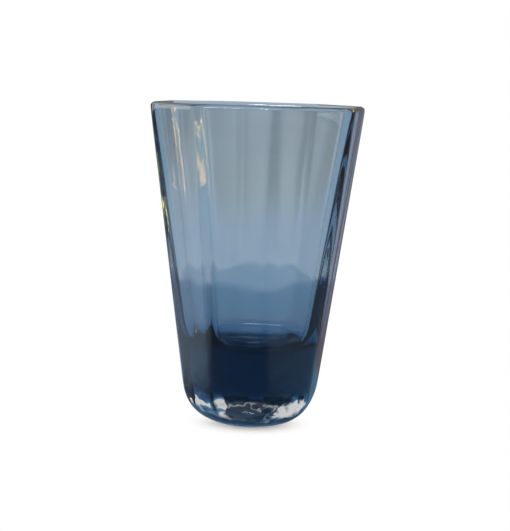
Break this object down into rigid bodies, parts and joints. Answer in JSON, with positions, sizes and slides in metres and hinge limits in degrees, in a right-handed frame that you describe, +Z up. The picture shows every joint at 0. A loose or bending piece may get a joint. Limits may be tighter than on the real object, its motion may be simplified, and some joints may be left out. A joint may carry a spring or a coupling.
{
  "type": "vase",
  "caption": "Tall tapering panelled glass vase, clear crystal cased over a blue lining that thickens to a solid blue base, over a rounded clear heel.",
  "frame": {"origin": "centre of the flat foot, on the surface that the vase stands on", "axes": "+Z up along the axis of the vase, one flat panel faces -Y"},
  "size_m": [0.127, 0.127, 0.2],
  "materials": {
    "clear_crystal": "polished clear crystal, fire-polished lip",
    "blue_glass": "polished transparent steel-blue glass, navy where it is thick"
  },
  "bodies": {
    "root": {"crystal_casing": "clear_crystal", "blue_lining": "blue_glass"}
  },
  "joints": []
}
